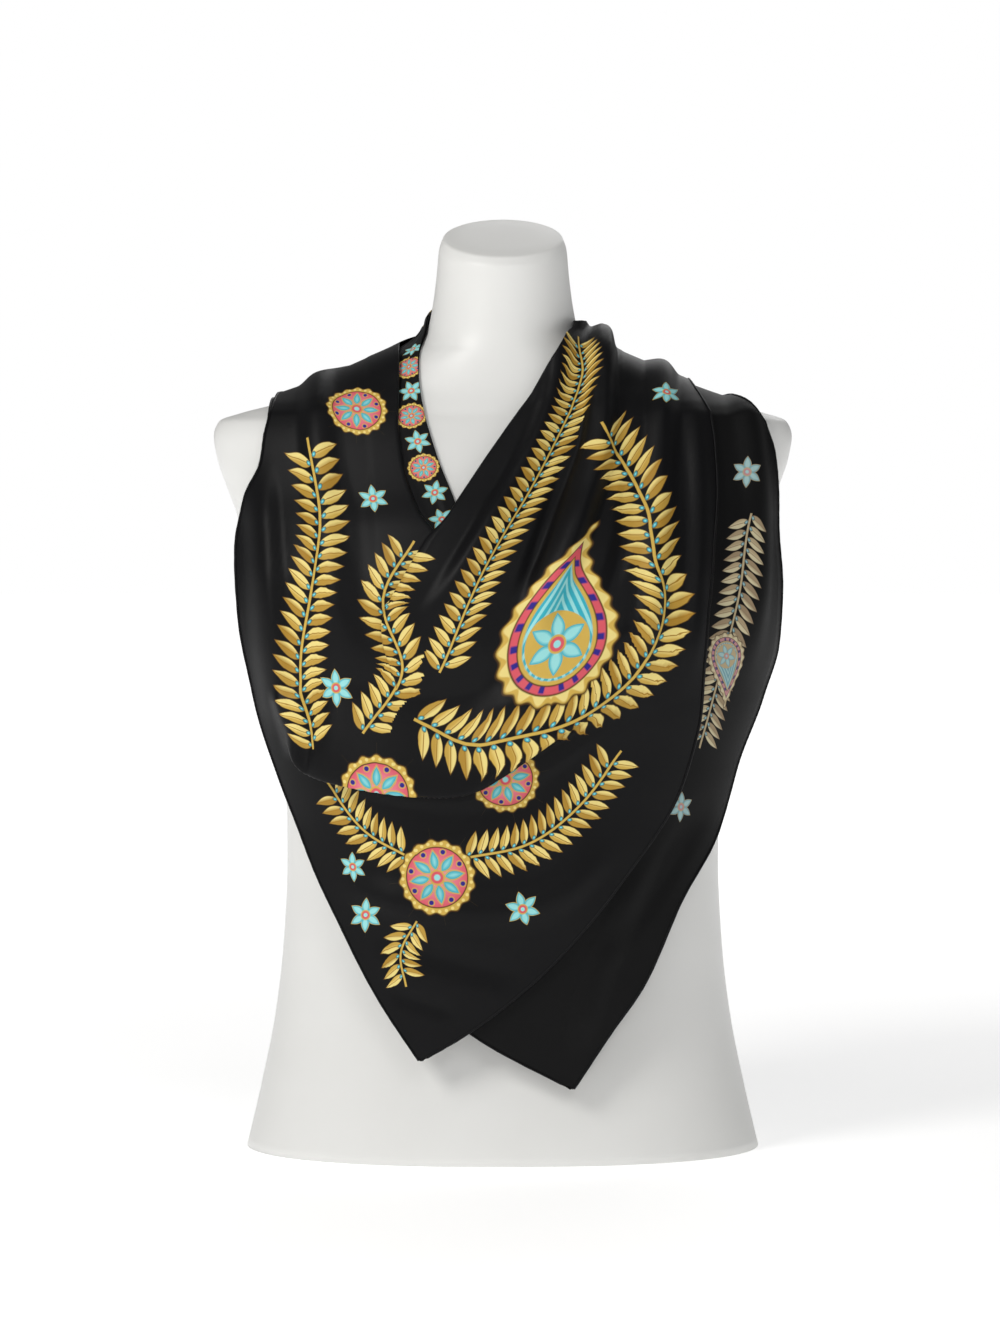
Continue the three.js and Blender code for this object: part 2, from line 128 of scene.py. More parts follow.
def through(knots, values, at):
    # A cubic between each two knots, whose slope at a knot is the harmonic mean of the rises
    # beside it, or 0 at a peak
    at = np.asarray(at, float)
    rise = np.diff(values) / np.diff(knots)
    before, after = rise[:-1], rise[1:]
    same = before * after > 0
    inner = np.where(same, 2 * before * after / np.where(same, before + after, 1), 0)
    slope = np.concatenate([rise[:1], inner, rise[-1:]])
    i = np.clip(np.searchsorted(knots, at, side="right") - 1, 0, len(knots) - 2)
    span = knots[i + 1] - knots[i]
    t = np.clip((at - knots[i]) / span, 0, 1)
    u = 1 - t
    ends = values[i] * (1 + 2 * t) * u * u + values[i + 1] * (3 - 2 * t) * t * t
    return ends + span * t * u * (slope[i] * u - slope[i + 1] * t)


def alongRows(table, name, row):
    return through(np.arange(len(table[name]), dtype=float), table[name], row)


def spline(points, steps):
    # Catmull-Rom curve through the points: a cubic whose slope at a point is half the step
    # between its neighbours
    p = np.asarray(points, float)
    p = np.vstack([2 * p[0] - p[1], p, 2 * p[-1] - p[-2]])
    t = np.linspace(0, len(points) - 1, steps + 1)
    i = np.minimum(t.astype(int), len(points) - 2)
    f = (t - i)[:, None]
    a, b, c, d = p[i], p[i + 1], p[i + 2], p[i + 3]
    return b + 0.5 * f * (c - a + f * (2 * a - 5 * b + 4 * c - d + f * (3 * (b - c) + d - a)))


def makeMesh(name, points, faces, uv=None, design=None):
    # Points and faces of four corners; uv holds each point's place on the flat cloth
    mesh = bpy.data.meshes.new(name)
    corners = printPlaces(uv, faces, design) if design else {}
    used = np.unique(faces)
    number = np.full(len(points), -1)
    number[used] = np.arange(len(used))
    points = points[used] * mm
    faces = number[faces]
    mesh.vertices.add(len(points))
    mesh.vertices.foreach_set("co", points.ravel())
    mesh.loops.add(faces.size)
    mesh.loops.foreach_set("vertex_index", faces.ravel())
    mesh.polygons.add(len(faces))
    mesh.polygons.foreach_set("loop_start", np.arange(0, faces.size, faces.shape[1]))
    mesh.polygons.foreach_set("use_smooth", np.ones(len(faces), bool))
    mesh.update(calc_edges=True)
    if uv is not None:
        layer = mesh.uv_layers.new(name="clothUV")
        layer.data.foreach_set("uv", (uv[used] * mm)[faces.ravel()].ravel())
    for place, values in corners.items():
        layer = mesh.attributes.new(place, "FLOAT_VECTOR", "CORNER")
        layer.data.foreach_set("vector", values.astype(float).ravel())
    mesh.validate()
    return newObject(name, mesh)


def unit(v):  # each vector with a length of 1
    return v / np.maximum(np.linalg.norm(v, axis=-1, keepdims=True), 1e-9)


def runningSum(steps, axis):  # from 0 on, along the axis
    return np.concatenate([0 * np.take(steps, [0], axis), np.cumsum(steps, axis)], axis)


def gridFaces(rows, cols, kept=None, closed=False):
    # Quads of a grid of rows by cols points, turned so that across x up points outwards
    i, j = np.meshgrid(np.arange(rows - 1), np.arange(cols if closed else cols - 1), indexing="ij")
    if kept is not None:
        i, j = i[kept], j[kept]
    k = (j + 1) % cols
    return np.stack([i * cols + j, i * cols + k, (i + 1) * cols + k, (i + 1) * cols + j], -1).reshape(-1, 4)


def ringMesh(name, rings, uv=None):
    # A skin over rings of points; the points of an end ring, which lie on each other, become one
    faces = gridFaces(*rings.shape[:2], closed=True)
    obj = makeMesh(name, rings.reshape(-1, 3), faces, uv)
    work = bmesh.new()
    work.from_mesh(obj.data)
    bmesh.ops.remove_doubles(work, verts=work.verts, dist=1e-7)
    work.to_mesh(obj.data)
    work.free()
    return obj


# The dress form

form = {
    "sides": 144,
    "ringsPerSection": 7,
    "baseLift": 0.6,  # how far its rounded lower edge stands up
    "baseRings": (0, 0.6, 0.99),  # shares of the base, from its middle outwards
    "capRings": [(0.985, 0.9), (0.95, 1.6), (0.6, 2.0), (0, 2.0)],  # share of the neck's top, rise
    "sections": columns("height half front back spine tip power", [
        [0, 187, 104, 116, 0, 0, 2.3],
        [47, 176, 102, 112, 0, 0, 2.3],
        [97, 166, 98, 106, 0, 0, 2.3],
        [147, 160, 95, 97, 0, 0, 2.3],
        [204, 157, 94, 89, 0, 0, 2.3],
        [240, 157, 97, 89, 0, 0, 2.3],
        [280, 162, 105, 92, 0, 0, 2.3],
        [333, 172, 118, 99, 0, 0, 2.3],
        [375, 180, 126, 104, 0, 0, 2.3],
        [415, 186, 123, 107, 0, 0, 2.3],
        [454, 191, 110, 106, 1, 0, 2.3],
        [480, 200, 95, 99, 3, 0, 2.3],
        [500, 207, 84, 92, 5, 0, 2.25],
        [517, 210, 74, 84, 7, 0, 2.2],
        [528, 206, 67, 78, 8, 0, 2.15],
        [534, 190, 63, 74, 9, 0, 2.1],
        [541, 163, 60, 70, 9, 0, 2.05],
        [550, 137, 56, 66, 9, 0, 2],
        [560, 113, 53, 63, 9, 0, 2],
        [569, 92, 51, 61, 8, 0, 2],
        [577, 74, 50, 60, 7, 0, 2],
        [584, 62, 49, 59, 6, 0.01, 2],
        [593, 55, 48, 57, 5, 0.03, 2],
        [610, 51, 47, 52, 3, 0.1, 2],
        [632, 48, 46, 46, 0, 0.22, 2],
        [652, 46, 46, 41, -3, 0.34, 2],
        [659, 43.5, 43.5, 38, -3, 0.37, 2],
    ]),
    # how far the hanging cloth stands off the form below the bust
    "drape": columns("height side front", [
        [0, 0, 6],
        [58, 4, 14],
        [97, 6, 20],
        [147, 8, 25],
        [204, 9, 28],
        [240, 9, 26],
        [276, 11, 20],
        [333, 18, 9],
        [390, 20, 2],
        [440, 12, 0],
        [485, 3, 0],
        [520, 0, 0],
    ]),
}


def formValue(name, height, table="sections"):
    return through(form[table]["height"], form[table][name], height)


def makeForm(f):
    # Rings of superellipses: x = half * cos^(2/power), y = depth * sin^(2/power), tipped by y
    sections = f["sections"]
    last = len(sections["height"]) - 1
    row = np.linspace(0, last, last * f["ringsPerSection"] + 1)
    at = {name: alongRows(sections, name, row)[:, None] for name in sections}
    angle = turnOf(f["sides"])[None, :]
    cos, sin = np.cos(angle), np.sin(angle)
    power = 2 / at["power"]
    depth = np.where(sin < 0, at["front"] + at["spine"], at["back"] - at["spine"])
    y = np.sign(sin) * depth * np.abs(sin) ** power
    x = np.sign(cos) * at["half"] * np.abs(cos) ** power
    points = np.stack([x, at["spine"] + y, at["height"] + at["tip"] * y], -1)
    share, rise = np.array(f["capRings"]).T[..., None]
    middle = points[-1].mean(0)
    caps = middle + (points[-1] - middle) * share[..., None]
    caps[..., 2] += rise
    lower = points[0] * np.array(f["baseRings"])[:, None, None]
    lower[..., 2] = 0
    points[0, :, 2] = f["baseLift"]
    return ringMesh("dressForm", np.concatenate([lower, points, caps]))


# How cloth lies on the form


shoulderHeights = (470, 545)  # where a distance off the form begins to count as height
neckHeights = (585, 600)  # where it stops to
topRange = (500.0, 600.0)  # where the tops of the shoulders are looked for
halvings = 26
newtonSteps = 5
slopeStep = 0.4


def section(z, distance):
    # The outline of a surface that stands a distance off the form and its drape
    shoulder = ramp(*shoulderHeights, z) * (1 - ramp(*neckHeights, z))
    height = z - distance * shoulder
    return (
        formValue("half", height) + formValue("side", height, "drape") + distance,
        formValue("front", height) + formValue("front", height, "drape") + distance,
        formValue("back", height) + distance,
        formValue("spine", height),
        formValue("power", height),
    )


def reachOf(p, distance):
    # (|x| / half)^power + (|y| / depth)^power, to the power 1 / power: 1 on the surface
    z = p[..., 2]
    middle = formValue("spine", z)
    z = z - formValue("tip", z) * (p[..., 1] - middle)
    half, front, back, spine, power = section(z, distance)
    y = p[..., 1] - spine
    depth = np.where(y < 0, front + spine, back - spine)
    total = (np.abs(p[..., 0]) / half) ** power + (np.abs(y) / depth) ** power
    return np.maximum(total, 1e-9) ** (1 / power)


def reachSlope(p, distance):
    axes = np.eye(3) * slopeStep
    parts = [reachOf(p + axis, distance) - reachOf(p - axis, distance) for axis in axes]
    return np.stack(parts, -1) / (2 * slopeStep)


def rested(p, distance):
    # Newton steps along the slope of the reach, until the point lies on the surface
    for _ in range(newtonSteps):
        slope = reachSlope(p, distance)
        short = (1 - reachOf(p, distance)) / np.maximum((slope ** 2).sum(-1), 1e-6)
        p = p + slope * short[..., None]
    return p


def outwards(p, distance):
    return unit(reachSlope(p, distance))


def seen(x, z, distance):
    # The point of the draped surface that is seen at x and z from the front
    half, front, back, spine, power = section(z, distance)
    across = np.minimum(np.abs(x) / half, 1)
    y = spine - (front + spine) * (1 - across ** power) ** (1 / power)
    return np.stack([x, y, z], -1)


def shoulderTop(x, distance):  # the height of the shoulder at x, found by halving
    low, high = (np.full_like(distance, end) for end in topRange)
    for _ in range(halvings):
        z = (low + high) / 2
        wide = section(z, distance)[0] > np.abs(x)
        low = np.where(wide, z, low)
        high = np.where(wide, high, z)
    return low


def fromPath(path, x, z, steps=36, openEnds=False):
    # The signed distance from a path, the place along it, 0 to 1, its length and the plain distance;
    # with open ends the place runs on past them
    line = spline(path, steps)
    step = np.diff(line, axis=0)
    dx = x[..., None] - line[:-1, 0]
    dz = z[..., None] - line[:-1, 1]
    free = (dx * step[:, 0] + dz * step[:, 1]) / (step ** 2).sum(1)
    t = np.clip(free, 0, 1)
    away = np.hypot(dx - t * step[:, 0], dz - t * step[:, 1])
    k = away.argmin(-1)
    near = away.min(-1)
    if openEnds:
        t[..., 0] = np.minimum(free[..., 0], 1)
        t[..., -1] = np.maximum(free[..., -1], 0)
        away = np.hypot(dx - t * step[:, 0], dz - t * step[:, 1])

    def pick(values):
        return np.take_along_axis(values, k[..., None], -1)[..., 0]

    side = np.sign(step[k, 0] * pick(dz) - step[k, 1] * pick(dx))
    return pick(away) * side, (k + pick(t)) / steps, np.hypot(*step.T).sum(), near


foldFades = {"start": (0, 0.22), "end": (0.72, 1)}  # along a fold's path, 0 to 1
# how far the drooping fold hangs over, and where along and off its path
lip = {"droop": 18, "begins": (0.02, 0.16), "stops": (0.5, 0.86), "below": (-7, -1), "above": (3, 50)}


def foldShape(folds, x, z):
    # The sum of height * (1 - (away / reach)^2)^2 over the folds, faded at the ends of their paths,
    # and how far a drooping fold slides down
    height = np.zeros_like(x)
    droop = np.zeros_like(x)
    for high, above, below, fading, path in folds.values():
        away, along, _, _ = fromPath(path, x, z)
        t = np.minimum(np.abs(away) / np.where(away > 0, above, below), 1)
        fade = np.ones_like(x)
        if "start" in fading:
            fade = fade * ramp(*foldFades["start"], along)
        if "end" in fading:
            fade = fade * (1 - ramp(*foldFades["end"], along))
        if "lip" in fading:
            shown = ramp(*lip["begins"], along) * (1 - ramp(*lip["stops"], along))
            droop += lip["droop"] * shown * ramp(*lip["below"], away) * (1 - ramp(*lip["above"], away))
        height += high * (1 - t * t) ** 2 * fade
    return height, droop


def sheetTable(rows):  # a row starts, meets the V's two sides, which may be one point, and stops
    return columns("leftX leftZ veeLeftX veeLeftZ veeRightX veeRightZ rightX rightZ",
                   [row[:4] + row[-4:] for row in rows])


# The front layer, from its corner over both shoulders to the ends

frontSheet = {
    "leftCells": 56,
    "rightCells": 84,
    "lapCells": (12, 16),
    "legRows": 84,
    "distance": 5.6,
    "hang": 4.4,
    "lapLift": 3.4,
    "lapRows": (6.6, 8.2),  # where the pleat closes
    "lapThins": 0.75,  # how much of its height is gone at the shoulders
    "lapWidth": 27,
    "lapShare": 0.36,
    # the pleat below the V and the edges rolled under above it: across, and layers up
    "pleatLeft": [(0, 0), (10, 0), (22, 0), (27, 0.5)],
    "pleatRight": [(22, 1), (8, 1), (-4, 1), (-8, 1.45), (-3, 2), (0, 2)],
    "rollLeft": [(0, 0), (1.3, -0.5), (0, -1), (-14, -1)],
    "rollRight": [(16, -1), (6, -1), (0, -1), (-1.4, -0.5), (-0.5, -0.1), (0, 0)],
    "rollDepth": 2.0,
    "deepest": 3.0,  # how far a trough may sink where the layers hang free
    "lift": 1.0,  # how far this layer stands off the middle of the folded ends
    "thickness": 0.45,
    "rows": sheetTable([
        [-59.4, 79.6, -58, 79, -56.4, 79.8],
        [-86, 119, -57, 106, -22, 101],
        [-116, 175, -62, 150, 30, 143],
        [-132, 208, -68, 190, 88, 211],
        [-147, 244, -76, 235, 124, 266],
        [-160, 276, -82, 270, 140, 325],
        [-170, 305, -86, 305, 142, 362],
        [-179, 340, -88, 345, 144, 390],
        [-188, 390, -77, 388, 147, 414],
        [-191, 440, -47, 443, 149, 440],
        [-184, 472, -61, 467, -20, 487, 152, 480],
        [-173, 497, -71, 495, 0, 517, 151, 512],
        [-170, 519, -76, 527, 22, 548, 148, 535],
    ]),
    "tops": {"left": -163, "veeLeft": -75, "veeRight": 50, "right": 135},
    # height, reach above or left, reach below or right, ends that fade, path from the front
    "folds": {
        "cowl": (17, 52, 10, "start end lip",
                 [(-152, 312), (-128, 300), (-81, 290), (-34, 287), (6, 298), (60, 329), (122, 370)]),
        "cowlShadow": (-2.2, 8, 26, "start end", [(-120, 266), (-60, 256), (-10, 258), (40, 282), (85, 316)]),
        "cowlSecond": (4.0, 22, 12, "start end", [(-20, 330), (20, 342), (70, 372), (118, 418)]),
        "leftRoll": (8, 11, 18, "start end", [(-146, 345), (-143, 318), (-139, 288)]),
        "sideTurn": (7, 10, 24, "start end", [(-170, 505), (-163, 430), (-157, 350), (-146, 300)]),
        "leftDrape": (5, 16, 16, "end", [(-134, 566), (-130, 500), (-120, 420), (-104, 350)]),
        "leftValley": (-1.6, 12, 12, "end", [(-108, 574), (-104, 510), (-98, 440), (-96, 390)]),
        "neckRoll": (7, 16, 11, "end", [(37, 604), (36, 560), (26, 522), (4, 478), (-28, 425), (-60, 380)]),
        "shoulderValley": (-4.5, 7, 7, "end", [(60, 600), (54, 525), (40, 483), (22, 434), (10, 400)]),
        "shoulderRoll": (11, 12, 22, "end", [(71, 604), (71, 520), (58, 470), (36, 415), (14, 370)]),
        "outerValley": (-3.2, 10, 10, "end", [(96, 590), (92, 500), (84, 440), (66, 390)]),
        "outerRoll": (6, 14, 14, "end", [(116, 580), (110, 480), (104, 400), (90, 350)]),
        "hemRoll": (4, 12, 10, "start end", [(136, 560), (139, 470), (136, 400), (128, 330)]),
        "lowTrough": (-2.4, 15, 15, "start end", [(-95, 168), (-40, 152), (22, 136)]),
        "lowRidge": (4.5, 22, 14, "start end", [(-118, 205), (-50, 186), (30, 190), (80, 235)]),
        "cornerTrough": (-1.6, 9, 9, "start end", [(-82, 128), (-30, 113)]),
    },
}
veeRow, shoulderRow, topRow, lastRow = 9, 12, 13, 14
hangRows = (8, 11.5)  # the layers hang free below the first row and rest above the second
waveRows = (10, 12.5)  # between these the faint waves go down to their resting share
restingWave = 0.35
restingTrough = 0.4  # the deepest trough where the layers rest
openingRows = 0.4  # in so many rows above the V the pleat opens into two rolled edges
settling = 0.55  # the share of the right half over which the pleat's height is lost
rowSteps = [(0, 4.6, 1 / 10), (4.6, 6.8, 1 / 32), (6.8, shoulderRow, 1 / 10)]  # from, to, step
overTopRows = 25

# The rear layer: its hems, with the V's line as its neckline
rearSheet = {
    "leftCells": 44,
    "rightCells": 66,
    "lapCells": (2, 2),
    "legRows": 90,
    "distance": 3.5,
    "hang": 1.4,
    "lapWidth": 2.5,
    "lapShare": 0.2,
    "deepest": 1.0,
    "lift": -0.4,
    "thickness": 0.45,
    "rows": sheetTable([
        [47.8, 58.5, 49, 58, 50.4, 58.5],
        [-22, 98, 20, 92, 76, 97],
        [-62, 134, 5, 124, 101, 133],
        [-92, 178, -12, 165, 126, 187],
        [-119, 226, -30, 210, 154, 236],
        [-140, 270, -45, 258, 169, 286],
        [-158, 320, -58, 310, 187, 330],
        [-169, 360, -62, 355, 198, 368],
        [-174, 400, -60, 400, 200, 410],
        [-176, 440, -50, 438, 198, 449],
        [-174, 470, -66, 464, -14, 487, 197, 480],
        [-168, 497, -76, 492, 6, 515, 195, 505],
        [-168, 521, -80, 524, 28, 545, 188, 528],
    ]),
    "tops": {"left": -167, "veeLeft": -78, "veeRight": 54, "right": 166},
    "folds": {
        "sleeveTrough": (-1.6, 9, 10, "start end", [(154, 545), (155, 470), (152, 400), (148, 350)]),
        "sleeveRoll": (5.5, 13, 15, "end", [(170, 570), (178, 520), (182, 460), (180, 400), (170, 330)]),
        "hipTrough": (-1.8, 14, 14, "start end", [(60, 150), (100, 190), (150, 270)]),
        "tailRidge": (3.5, 14, 16, "start end", [(50, 80), (70, 150), (110, 230)]),
    },
}

# The two ends behind the neck: the hem's edge, the neckline's edge and the distance from the form
ends = {
    "left": columns("hemX hemY hemZ neckX neckY neckZ distance", [
        [-164, 9, 541, -76, 8, 577, 4.4],
        [-150, 40, 541, -62, 27, 589, 4.3],
        [-122, 60, 545, -59, 42, 593, 3.4],
        [-85, 68, 553, -50, 50, 597, 2.0],
        [-45, 71, 564, -30, 60, 596, 1.3],
        [-10, 68, 578, -5, 64, 603, 1.5],
        [22, 63, 584, 22, 60, 606, 1.5],
        [44, 46, 588, 44, 46, 604, 1.5],
    ]),
    "right": columns("neckX neckY neckZ hemX hemY hemZ distance", [
        [53, 14, 588, 150, 9, 546, 4.4],
        [52, 30, 596, 146, 36, 541, 4.4],
        [44, 46, 604, 118, 60, 545, 4.3],
        [28, 57, 612, 80, 69, 553, 4.1],
        [5, 62, 617, 38, 72, 562, 3.9],
        [-20, 60, 619, -2, 68, 576, 3.8],
        [-40, 48, 617, -36, 60, 589, 3.6],
        [-52, 28, 611, -54, 38, 590, 3.0],
        [-58, 6, 603, -66, 8, 586, 2.0],
        [-59, -14, 590, -82, -6, 573, 1.5],
        [-59, -40, 562, -92, -40, 548, 1.5],
        [-56, -52, 535, -94, -52, 520, 1.5],
        [-47, -70, 503, -90, -68, 488, 1.5],
        [-33, -90, 466, -78, -90, 455, 1.5],
        [-27, -100, 446, -58, -100, 436, 1.5],
    ]),
    # the pleats of each end: height and count of each wave, and where they start and fade
    "leftPleats": {"waves": [(2.6, 3), (1.0, 7)], "starts": 0.16, "fades": (0.36, 0.56),
                   "lost": 1.0, "blend": 0.22},
    "rightPleats": {"waves": [(3.0, 3), (1.1, 7)], "starts": 0.12, "fades": (0.46, 0.6),
                    "lost": 0.75, "blend": 0.14},
    "uneven": (0.045, 0.1),  # how far the pleats are moved aside, and from where
    "flatness": 0.6,
}

softWaves = columns("across up phase height", [
    [0.055, 0.021, 0.4, 0.30],
    [-0.031, 0.062, 1.9, 0.26],
    [0.094, -0.043, 3.1, 0.16],
    [0.018, 0.117, 5.2, 0.12],
    [-0.12, -0.055, 0.9, 0.08],
])


def softness(x, z):
    # Faint waves of the silk: the sum of height * sin(across * x + up * z + phase)
    w = softWaves
    turn = w["across"] * x[..., None] + w["up"] * z[..., None] + w["phase"]
    return (w["height"] * np.sin(turn)).sum(-1)


def sheetRows(legRows):
    # Rows close together at the cowl fold and over the shoulders
    parts = [np.arange(*steps) for steps in rowSteps]
    overTop = np.linspace(shoulderRow, topRow, overTopRows)
    return np.concatenate([*parts, overTop, np.linspace(topRow, lastRow, legRows + 1)[1:]])


def overShoulder(row):  # 0 at the shoulder's row to 1 at the top, as a quarter of a sine
    return np.sin(np.pi / 2 * np.clip(row - shoulderRow, 0, 1))


def rowEnds(s, row, distance):
    # Where a row starts, meets the V and stops, in x and z from the front
    low = np.minimum(row, shoulderRow)
    over = overShoulder(row)
    found = {}
    for name, topX in s["tops"].items():
        x, z = (alongRows(s["rows"], name + axis, low) for axis in "XZ")
        topZ = shoulderTop(topX, distance)
        found[name] = (x + (topX - x) * over, z + (topZ - z) * over)
    return found


def between(a, b, t):
    return a[0][:, None] + (b[0] - a[0])[:, None] * t, a[1][:, None] + (b[1] - a[1])[:, None] * t


def endPoints(side, turn, t, offset):
    # A row of a folded end: straight from its neck edge to its hem edge, then rested on the form
    table = ends[side]
    row = turn * (len(table["distance"]) - 1)
    hem, neck = (np.stack([alongRows(table, edge + axis, row) for axis in "XYZ"], -1)[:, None]
                 for edge in ("hem", "neck"))
    distance = alongRows(table, "distance", row)[:, None] + offset + 0 * t[None]
    flat = neck + (hem - neck) * t[None, :, None]
    return rested(flat, distance), distance


def frontLap(s, up, step, rightSide, x, spacing):
    # Where the columns between the two halves lie, along their row and up: below the V a lapped
    # pleat, a Z of three layers, and above it the rolled edges of the halves
    lapLeft, lapRight = s["lapCells"]
    lap = ramp(*s["lapRows"], up)[:, None]
    spacing = (1 - lap) * spacing
    lift = s["lapLift"] * lap * (1 - s["lapThins"] * ramp(veeRow, topRow, up))[:, None]
    opened = ramp(veeRow, veeRow + openingRows, up)[:, None]
    rolled = opened * (1 - ramp(shoulderRow, topRow, up))[:, None]
    pleat, roll = (
        np.vstack([spline(s[name + "Left"], lapLeft)[1:], spline(s[name + "Right"], lapRight)[:-1]])
        for name in ("pleat", "roll"))
    x = x + (1 - opened) * lap * pleat[:, 0] + rolled * roll[:, 0] + spacing * step
    raised = (1 - opened) * lift * pleat[:, 1] + rolled * s["rollDepth"] * roll[:, 1]
    raised = raised + opened * np.where(rightSide, 2 * lift, 0)
    return x, raised, spacing * (len(step) + 1), 2 * lift


def rearLap(s, up, step, rightSide, x, spacing):
    # The rear layer has no pleat: the columns lie close beside the V's line
    closed = (up < veeRow)[:, None]
    x = x + spacing * np.where(rightSide & ~closed, step - len(step) - 1, step)
    return x, 0 * x, closed * spacing * (len(step) + 1), 0 * spacing


def lapSpacing(s, found):
    # A set width, but never more than a share of the row's, in equal steps
    width = np.minimum(s["lapWidth"], s["lapShare"] * (found["right"][0] - found["left"][0]))
    return width[:, None] / (sum(s["lapCells"]) + 1)


def legPoints(s, side, t, topRowPoints, lift):
    # The part of a sheet behind a shoulder, with pleats of height * (1 - cos(2 pi n t)) / 2 that only
    # stand outwards
    turn = np.linspace(0, 1, s["legRows"] + 1)
    leg, far = endPoints(side, turn, t, lift)
    pleats = ends[side + "Pleats"]
    moved, start = ends["uneven"]
    uneven = t + moved * np.sin(2 * np.pi * (t + start))
    rise = sum(high * (1 - np.cos(2 * np.pi * count * uneven)) / 2 for high, count in pleats["waves"])
    shown = ramp(0, pleats["starts"], turn) * (1 - pleats["lost"] * ramp(*pleats["fades"], turn))
    rise = rise * np.sin(np.pi * t) ** ends["flatness"] * shown[:, None]
    leg = leg + outwards(leg, far) * rise[..., None]
    keep = 1 - ramp(0, pleats["blend"], turn)[:, None, None]
    return (leg + (topRowPoints - leg[0])[None] * keep)[1:]


def sheetPoints(s, front):
    row = sheetRows(s["legRows"])
    up = row[row <= topRow]
    hanging = 1 - ramp(*hangRows, up)
    distance = s["distance"] + s["hang"] * hanging
    found = rowEnds(s, up, distance)
    leftT = np.linspace(0, 1, s["leftCells"] + 1)
    rightT = np.linspace(0, 1, s["rightCells"] + 1)
    leftX, leftZ = between(found["left"], found["veeLeft"], leftT)
    lapLeft, lapRight = s["lapCells"]
    step = np.arange(1, lapLeft + lapRight + 1)
    rightSide = step > lapLeft
    lapX, lapZ = (np.where(rightSide, found["veeRight"][i][:, None], found["veeLeft"][i][:, None])
                  for i in (0, 1))
    makeLap = frontLap if front else rearLap
    lapX, lapUp, shift, edgeUp = makeLap(s, up, step, rightSide, lapX, lapSpacing(s, found))
    veeX, veeZ = found["veeRight"]
    rightX, rightZ = between((veeX + shift[:, 0], veeZ), found["right"], rightT)
    rightUp = edgeUp * (1 - ramp(0, settling, rightT))[None]
    x = np.hstack([leftX, lapX, rightX])
    z = np.hstack([leftZ, lapZ, rightZ])
    # every column reaches the ridge of the shoulder at the top row
    z = z + overShoulder(up)[:, None] * (shoulderTop(x[-1], distance[-1] + 0 * x[-1]) - z[-1])
    folds, droop = foldShape(s["folds"], x, z)
    folds = np.maximum(folds, -restingTrough - s["deepest"] * hanging[:, None])
    wave = softness(x, z) * (1 - (1 - restingWave) * ramp(*waveRows, up))[:, None]
    distance = distance[:, None] + 0 * x
    place = rested(seen(x, z - droop, distance), distance)
    raised = np.hstack([0 * leftX, lapUp, rightUp]) + folds + wave
    shown = place + outwards(place, distance) * raised[..., None]
    # the legs, which go on from the last row over the shoulders to the tucked ends
    split = len(leftT) + lapLeft
    leftT = np.concatenate([1 - leftT, np.zeros(lapLeft)])
    rightT = np.concatenate([np.zeros(lapRight), rightT])
    leftLeg = legPoints(s, "left", leftT, shown[-1, :split], s["lift"])
    rightLeg = legPoints(s, "right", rightT, shown[-1, split:], s["lift"])
    return np.concatenate([shown, np.concatenate([leftLeg, rightLeg], 1)]), row, split


besideRow = 8.5  # where the cloth hidden in the drooping fold is measured
besideRows = (5, 6.6)  # between these it is added beside the fold
settledRows = 0.35  # in so many rows behind the shoulders the ends take their own coordinates


def unrolled(points, row, left, right):
    # The flat cloth's coordinates: lengths along each row from the two columns that meet at the lap,
    # and lengths up each column
    across = np.diff(points, axis=1)
    across = np.hypot(across[..., 0], across[..., 1])
    sums = runningSum(across, 1)
    middle = (left + right) // 2
    halves = [sums - sums[:, [col]] + points[:, [col], 0] for col in (left, right)]
    u = np.where(np.arange(points.shape[1]) <= middle, *halves)
    upwards = np.diff(points, axis=0)
    rise = np.hypot(upwards[..., 1], upwards[..., 2])
    rise = np.where((row[1:] > topRow)[:, None], np.linalg.norm(upwards, axis=-1), rise)
    v = points[0, :, 2] + runningSum(rise, 0)
    # the cloth hidden in the drooping fold counts out to the left hem too
    beside = left // 2
    level = v[np.abs(row - besideRow).argmin()]
    v[:, :beside] += (level[beside] - level[:beside]) * ramp(*besideRows, row)[:, None]
    # behind the shoulders a point lies along and across its end's own middle column
    over = row > topRow
    top = np.flatnonzero(~over)[-1]
    settled = ramp(topRow, topRow + settledRows, row[over])[:, None]
    full = runningSum(np.linalg.norm(np.diff(points[over], axis=1), axis=-1), 1)
    for cols in (slice(0, middle), slice(middle, points.shape[1])):
        core = (cols.start + cols.stop) // 2
        spine = unit(np.gradient(points[over, core], axis=0))
        along = ((points[over, cols] - points[over, core:core + 1]) * spine[:, None]).sum(-1)
        wide = full[:, cols] - full[:, core:core + 1]
        square = np.sign(wide) * np.sqrt(np.maximum(wide ** 2 - along ** 2, 0))
        u[over, cols] = u[top, core] + (1 - settled) * wide + settled * square
        v[over, cols] += settled * (v[over, core:core + 1] + along - v[over, cols])
    return np.stack([u, v], -1)


def makeSheet(name, s, front, design):
    points, row, split = sheetPoints(s, front)
    rows, cols = points.shape[:2]
    kept = np.ones((rows - 1, cols - 1), bool)
    kept[row[:-1] >= veeRow - 1e-6, split - 1] = False
    lap = sum(s["lapCells"])
    kept[row[:-1] >= topRow - 1e-6, s["leftCells"]:s["leftCells"] + lap + 1] = False
    uv = unrolled(points, row, s["leftCells"], s["leftCells"] + lap + 1)
    flat = uv.reshape(-1, 2)
    obj = makeMesh(name, points.reshape(-1, 3), gridFaces(rows, cols, kept), flat, design)
    shell = obj.modifiers.new("thickness", "SOLIDIFY")
    shell.thickness = s["thickness"] * mm
    shell.offset = 0
    return obj, points


# The print: garlands, paisleys, medallions and stars, in the flat cloth's millimetres


